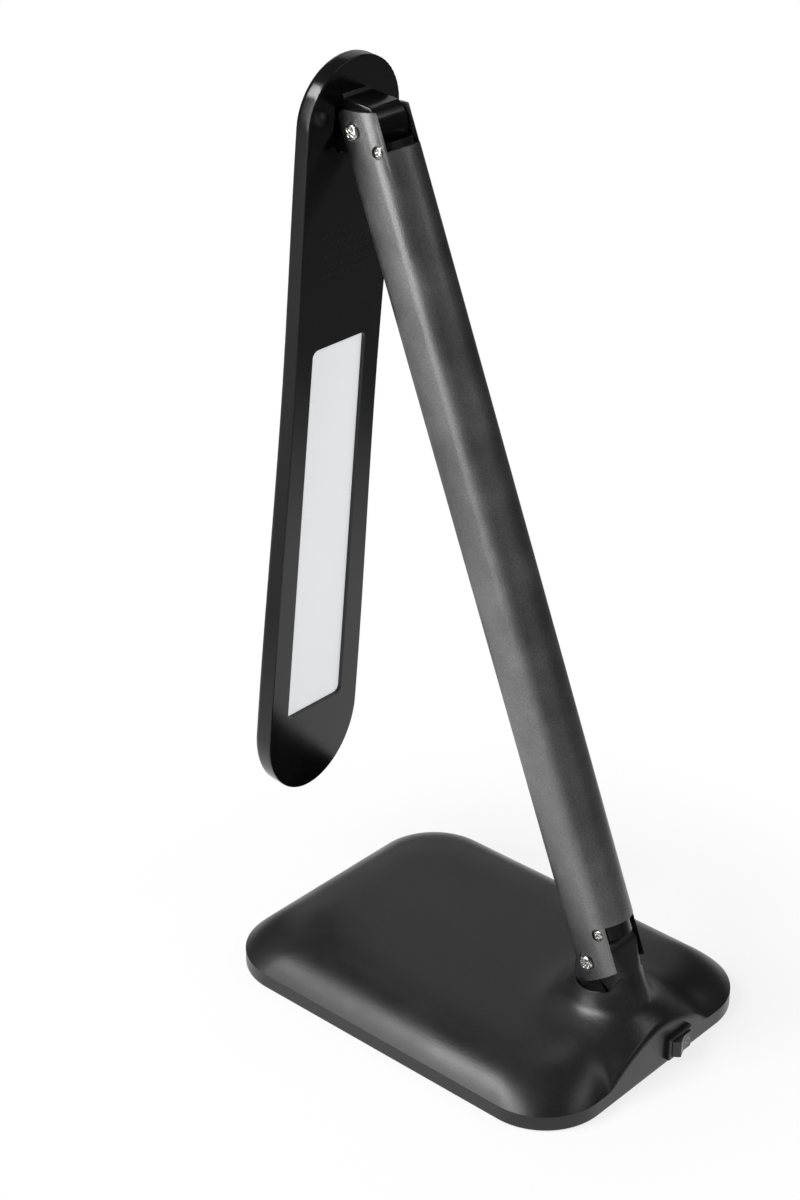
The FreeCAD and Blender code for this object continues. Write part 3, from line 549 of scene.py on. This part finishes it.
# %% Marks of the switch
RING = [(1.1, -0.02), (1.1, 0.03), (1.2, 0.06), (1.4, 0.06), (1.5, 0.03), (1.5, -0.02), (1.1, -0.02)]
RING_PLACE, RING_OUT, RING_POINTS = np.array([-14.9, 98.25, 8.2]), (0.004, 1.0, 0.0), 48
BAR = [(0, 0.06), (0.8, 0.06), (0.95, 0.03), (1.0, -0.02), (0, -0.02)]
BAR_PLACE, BAR_OUT, BAR_POINTS = np.array([-10.33, 99.18, 8.2]), (-0.41, 0.912, 0.0), 32
BAR_SIDE, BAR_HALF_WIDTH, BAR_HALF_HEIGHT = np.array([0.912, 0.41, 0.0]), 0.24, 1.4
ring = turned(RING, RING_PLACE, RING_OUT, ACROSS, UPRIGHT, RING_POINTS)
bar = turned(BAR, BAR_PLACE, BAR_OUT, BAR_HALF_WIDTH * BAR_SIDE, BAR_HALF_HEIGHT * UPRIGHT, BAR_POINTS)
for name, grid in (("ring", ring), ("bar", bar)):
    dress(mesh_from_grids("switch_mark_" + name, [grid]), "rocker", "switch_plastic", mark_white)

# %% [markdown]
# Screw heads are small but bright, so they carry the eye. Each is a polar grid: a low dome with a rounded
# shoulder, and a cross recess sunk where either bar of the cross passes.

# %% Pan-head screws
HEAD_COLUMNS, DOME_ROWS, SHOULDER_ROWS = 120, 40, 9
DOME_SHARE, SHOULDER_SHARE = 0.8, 0.2
SHOULDER_FROM, SHOULDER_WIDTH = 0.72, 0.28
DOME_DROP, SHOULDER_DROP, RIM_LEVEL = 0.12, 0.55, 0.3
CROSS_BAR, CROSS_REACH, CROSS_SOFT, CROSS_DEPTH = 0.13, 0.6, 0.03, 0.5
SCREW_SEAT, ARM_SPAN = 9.9, 351.0
PIVOT_HEAD, PLUG_HEAD = (3.35, 2.0), (2.1, 1.0)
PIVOT_TURNS = ((1, 0.5), (-1, 1.1))
PLUG_BACK, PLUG_ALONG = 10.5, (13.0, 341.0)


def pan_head(centre, side, radius, height, turn):
    """Dome of revolution x(r) with a cross: depth falls smoothly across the edges of two crossed bars."""
    around = np.linspace(0, 2 * np.pi, HEAD_COLUMNS, endpoint=False)
    shoulder = np.sin(np.linspace(0, np.pi / 2, SHOULDER_ROWS)[1:])
    share = np.concatenate([np.linspace(0, DOME_SHARE, DOME_ROWS), DOME_SHARE + SHOULDER_SHARE * shoulder])
    past = np.clip((share - SHOULDER_FROM) / SHOULDER_WIDTH, 0, 1)
    dome = height * (1 - DOME_DROP * share ** 2 - SHOULDER_DROP * (1 - np.sqrt(1 - past ** 2)))
    r = radius * share[:, None]
    a, b = r * np.cos(around + turn), r * np.sin(around + turn)

    def within(value, limit):
        past_edge = (np.abs(value) - limit * radius) / (CROSS_SOFT * radius)
        return 1 / (1 + np.exp(np.clip(past_edge, -40, 40)))

    cross = np.maximum(within(a, CROSS_BAR) * within(b, CROSS_REACH),
                       within(b, CROSS_BAR) * within(a, CROSS_REACH))
    x = dome[:, None] - CROSS_DEPTH * height * cross
    rim = np.array([RIM_LEVEL, 0.0, 0.0]) * height
    x = np.concatenate([x, np.tile(rim[:, None], (1, around.size))])
    r = np.concatenate([r, [[radius], [radius], [0.0]]])
    y, z = centre[1] + r * np.cos(around), centre[2] + r * np.sin(around)
    return np.dstack([side * (SCREW_SEAT + x), y, z])


for name, along in (("lower_pivot", 0), ("upper_pivot", ARM_SPAN)):
    heads = [pan_head(in_arm(0, along), side, *PIVOT_HEAD, turn) for side, turn in PIVOT_TURNS]
    dress(mesh_from_grids(name + "_heads", heads), "arm", "screw_steel", screw_steel, name + "_screws")
plug_heads = [pan_head(in_arm(PLUG_BACK, along), side, *PLUG_HEAD, side * along)
              for along in PLUG_ALONG for side in (1, -1)]
dress(mesh_from_grids("plug_screw_heads", plug_heads), "arm", "screw_steel", screw_steel, "arm_plug_screws")

# %% [markdown]
# The nodes that hide inside or under the lamp keep their own solids, but each still gets a real finish,
# because the lamp may be opened or seen from below.

# %% Finishes for the hidden nodes
hidden = {
    "base_plate": finish("plate plastic", (0.018, 0.018, 0.019), 0.5, 0.9, 0.3),
    "antislip_pad": finish("pad rubber", (0.022, 0.022, 0.022), 0.8, 1.4, 0.6),
    "counterweight": finish("ballast iron", (0.18, 0.17, 0.16), 0.55, 1.1, 0.4, metal=1.0),
    "driver_board": finish("board laminate", (0.02, 0.12, 0.05), 0.4, 0.5, 0.1),
    "driver_components": finish("component plastic", (0.03, 0.03, 0.034), 0.45, 0.6, 0.15),
    "power_inlet": finish("socket plastic", (0.014, 0.014, 0.014), 0.4, 0.6, 0.15),
    "switch_terminals": finish("terminal brass", (0.62, 0.46, 0.2), 0.3, 0.5, 0.1, metal=1.0),
    "arm_cable": finish("cable jacket", (0.02, 0.02, 0.02), 0.5, 0.7, 0.2),
    "led_board": finish("led board aluminium", (0.75, 0.75, 0.74), 0.45, 0.5, 0.1),
    "led_chips": finish("led phosphor", (0.8, 0.62, 0.16), 0.4, 0.4, 0.05),
}
hidden["base_plate_screws"] = hidden["counterweight_screws"] = screw_steel
sleeve_steel = finish("sleeve steel", (0.5, 0.5, 0.5), 0.3, 0.6, 0.1, metal=1.0)
washer_nylon = finish("washer nylon", (0.6, 0.58, 0.52), 0.5, 0.7, 0.1)
for where in ("lower", "upper"):
    hidden[where + "_pivot_sleeve"] = sleeve_steel
    hidden[where + "_friction_washers"] = washer_nylon
for node, material in hidden.items():
    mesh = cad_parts[node].data
    mesh.materials.clear()
    mesh.materials.append(material)
print("hidden nodes finished:", len(hidden))

# %% [markdown]
# The stage is a wide white floor. Close to the lamp the camera sees it partly as a lit card, so it keeps the
# soft shadow of the base; farther out it fades to plain white. Reflections see it white beside the lamp and
# as a grey card farther out, as in a studio where the sweep is lit only near the object, so the black pieces
# keep their depth.

# %% Floor
FLOOR_HALF = 6
CARD_GREY, CARD_WHITE = (0.35, 0.35, 0.35, 1), (0.95, 0.95, 0.95, 1)
FADE_FROM, FADE_TO, FADE_LEAST = 0.09, 0.22, 0.8
MIRROR_FROM, MIRROR_TO = 0.18, 0.42
floor_corners = [(x * FLOOR_HALF, y * FLOOR_HALF, 0) for x, y in ((-1, -1), (1, -1), (1, 1), (-1, 1))]
floor_mesh = bpy.data.meshes.new("floor")
floor_mesh.from_pydata(floor_corners, [], [(0, 1, 2, 3)])
floor = bpy.data.objects.new("floor", floor_mesh)
bpy.context.scene.collection.objects.link(floor)


def floor_finish():
    """Diffuse card mixed with light of strength one, whose share is fade x camera + near x mirror.

    The fade grows with the distance from the lamp, and the near part falls with it.
    """
    material = bpy.data.materials.new("floor white")
    material.use_nodes = True
    tree = material.node_tree
    link = tree.links.new
    tree.nodes.clear()
    path = add_node(tree, "ShaderNodeLightPath")
    seen = add_node(tree, "ShaderNodeMath")
    seen.operation = "MAXIMUM"
    link(path.outputs["Is Camera Ray"], seen.inputs[0])
    link(path.outputs["Is Transmission Ray"], seen.inputs[1])
    card = add_node(tree, "ShaderNodeMix")
    card.data_type = "RGBA"
    card.inputs["A"].default_value = CARD_GREY
    card.inputs["B"].default_value = CARD_WHITE
    link(seen.outputs[0], card.inputs["Factor"])
    diffuse = add_node(tree, "ShaderNodeBsdfDiffuse")
    link(card.outputs["Result"], diffuse.inputs["Color"])
    place = add_node(tree, "ShaderNodeTexCoord")
    reach = add_node(tree, "ShaderNodeVectorMath")
    reach.operation = "LENGTH"
    link(place.outputs["Object"], reach.inputs[0])
    fade = add_node(tree, "ShaderNodeMapRange", From_Min=FADE_FROM, From_Max=FADE_TO, To_Min=FADE_LEAST)
    near = add_node(tree, "ShaderNodeMapRange", From_Min=MIRROR_FROM, From_Max=MIRROR_TO,
                    To_Min=1.0, To_Max=0.0)
    for ramp in (fade, near):
        ramp.interpolation_type = "SMOOTHSTEP"
        link(reach.outputs["Value"], ramp.inputs["Value"])
    direct = add_node(tree, "ShaderNodeMath")
    direct.operation = "MULTIPLY"
    link(fade.outputs["Result"], direct.inputs[0])
    link(seen.outputs[0], direct.inputs[1])
    both = add_node(tree, "ShaderNodeMath")
    both.operation = "MULTIPLY_ADD"
    link(near.outputs["Result"], both.inputs[0])
    link(path.outputs["Is Glossy Ray"], both.inputs[1])
    link(direct.outputs[0], both.inputs[2])
    light = add_node(tree, "ShaderNodeEmission")
    mix = add_node(tree, "ShaderNodeMixShader")
    link(both.outputs[0], mix.inputs["Fac"])
    link(diffuse.outputs["BSDF"], mix.inputs[1])
    link(light.outputs["Emission"], mix.inputs[2])
    out = add_node(tree, "ShaderNodeOutputMaterial")
    link(mix.outputs["Shader"], out.inputs["Surface"])
    return material


floor_mesh.materials.append(floor_finish())
print("floor width in m:", 2 * FLOOR_HALF)

# %% [markdown]
# Black plastic shows its form by what it mirrors, so the light is five soft boxes. A long one high on the
# left draws the rim of the pillow and the flare, and one low on the left draws the arm. The top of the base
# mirrors a wide dim one behind the lamp, and a strip high on the right catches the arch. One behind the
# camera opens the light panel. The world adds a little even light, and the camera sees it as plain white.

# %% Light
WORLD_LEAST = 0.07
world = bpy.data.worlds.new("studio")
world.use_nodes = True
bpy.context.scene.world = world
sky = world.node_tree.nodes["Background"]
sky.inputs["Color"].default_value = (1, 1, 1, 1)
path = add_node(world.node_tree, "ShaderNodeLightPath")
strength = add_node(world.node_tree, "ShaderNodeMapRange", To_Min=WORLD_LEAST, To_Max=1.0)
world.node_tree.links.new(path.outputs["Is Camera Ray"], strength.inputs["Value"])
world.node_tree.links.new(strength.outputs["Result"], sky.inputs["Strength"])


def soft_box(name, place, target, width, height, radiance):
    """Area lamp that faces a point. Its power is radiance x width x height x pi."""
    lamp = bpy.data.lights.new(name, "AREA")
    lamp.shape = "RECTANGLE"
    lamp.size, lamp.size_y = width, height
    lamp.energy = radiance * width * height * np.pi
    holder = bpy.data.objects.new(name, lamp)
    holder.location = place
    holder.rotation_euler = (Vector(target) - Vector(place)).to_track_quat("-Z", "Y").to_euler()
    bpy.context.scene.collection.objects.link(holder)


for name, place, target, width, height, radiance in (
        ("overhead", (0.97, -0.45, 1.22), (0, 0, 0.05), 1.15, 0.42, 15.0),
        ("left", (1.0, -0.5, 0.42), (0, 0, 0.2), 0.6, 0.95, 3.6),
        ("back right", (-1.45, -1.3, 1.05), (0, 0, 0.1), 1.6, 1.6, 0.5),
        ("right rim", (-0.56, 0.92, 1.16), (0, 0.09, 0.02), 1.0, 0.3, 3.5),
        ("behind camera", (0.7, 2.4, 0.9), (0, 0, 0.2), 2.4, 2.4, 0.15)):
    soft_box(name, place, target, width, height, radiance)
print("lamps:", len(bpy.data.lights))

# %% [markdown]
# The camera stands where the photograph was taken from, worked out from the outline of the base, the light
# window and the hinge screws.

# %% Camera
SENSOR, FOCAL_PIXELS, PHOTO_HEIGHT = 24.0, 2540.2, 1200.0
CAMERA_PLACE = (0.697325, 0.579832, 0.669870)
LOOK_DOWN, LOOK_ROUND = 28.018, 132.099
camera_data = bpy.data.cameras.new("camera")
camera_data.sensor_fit = "VERTICAL"
camera_data.sensor_height = SENSOR
camera_data.lens = SENSOR * FOCAL_PIXELS / PHOTO_HEIGHT
camera = bpy.data.objects.new("camera", camera_data)
camera.location = CAMERA_PLACE
camera.rotation_euler = (np.radians(90 - LOOK_DOWN), 0, np.radians(LOOK_ROUND))
bpy.context.scene.collection.objects.link(camera)
bpy.context.scene.camera = camera
bpy.context.scene.view_settings.view_transform = "Standard"
print("lens in mm:", round(camera_data.lens, 2))
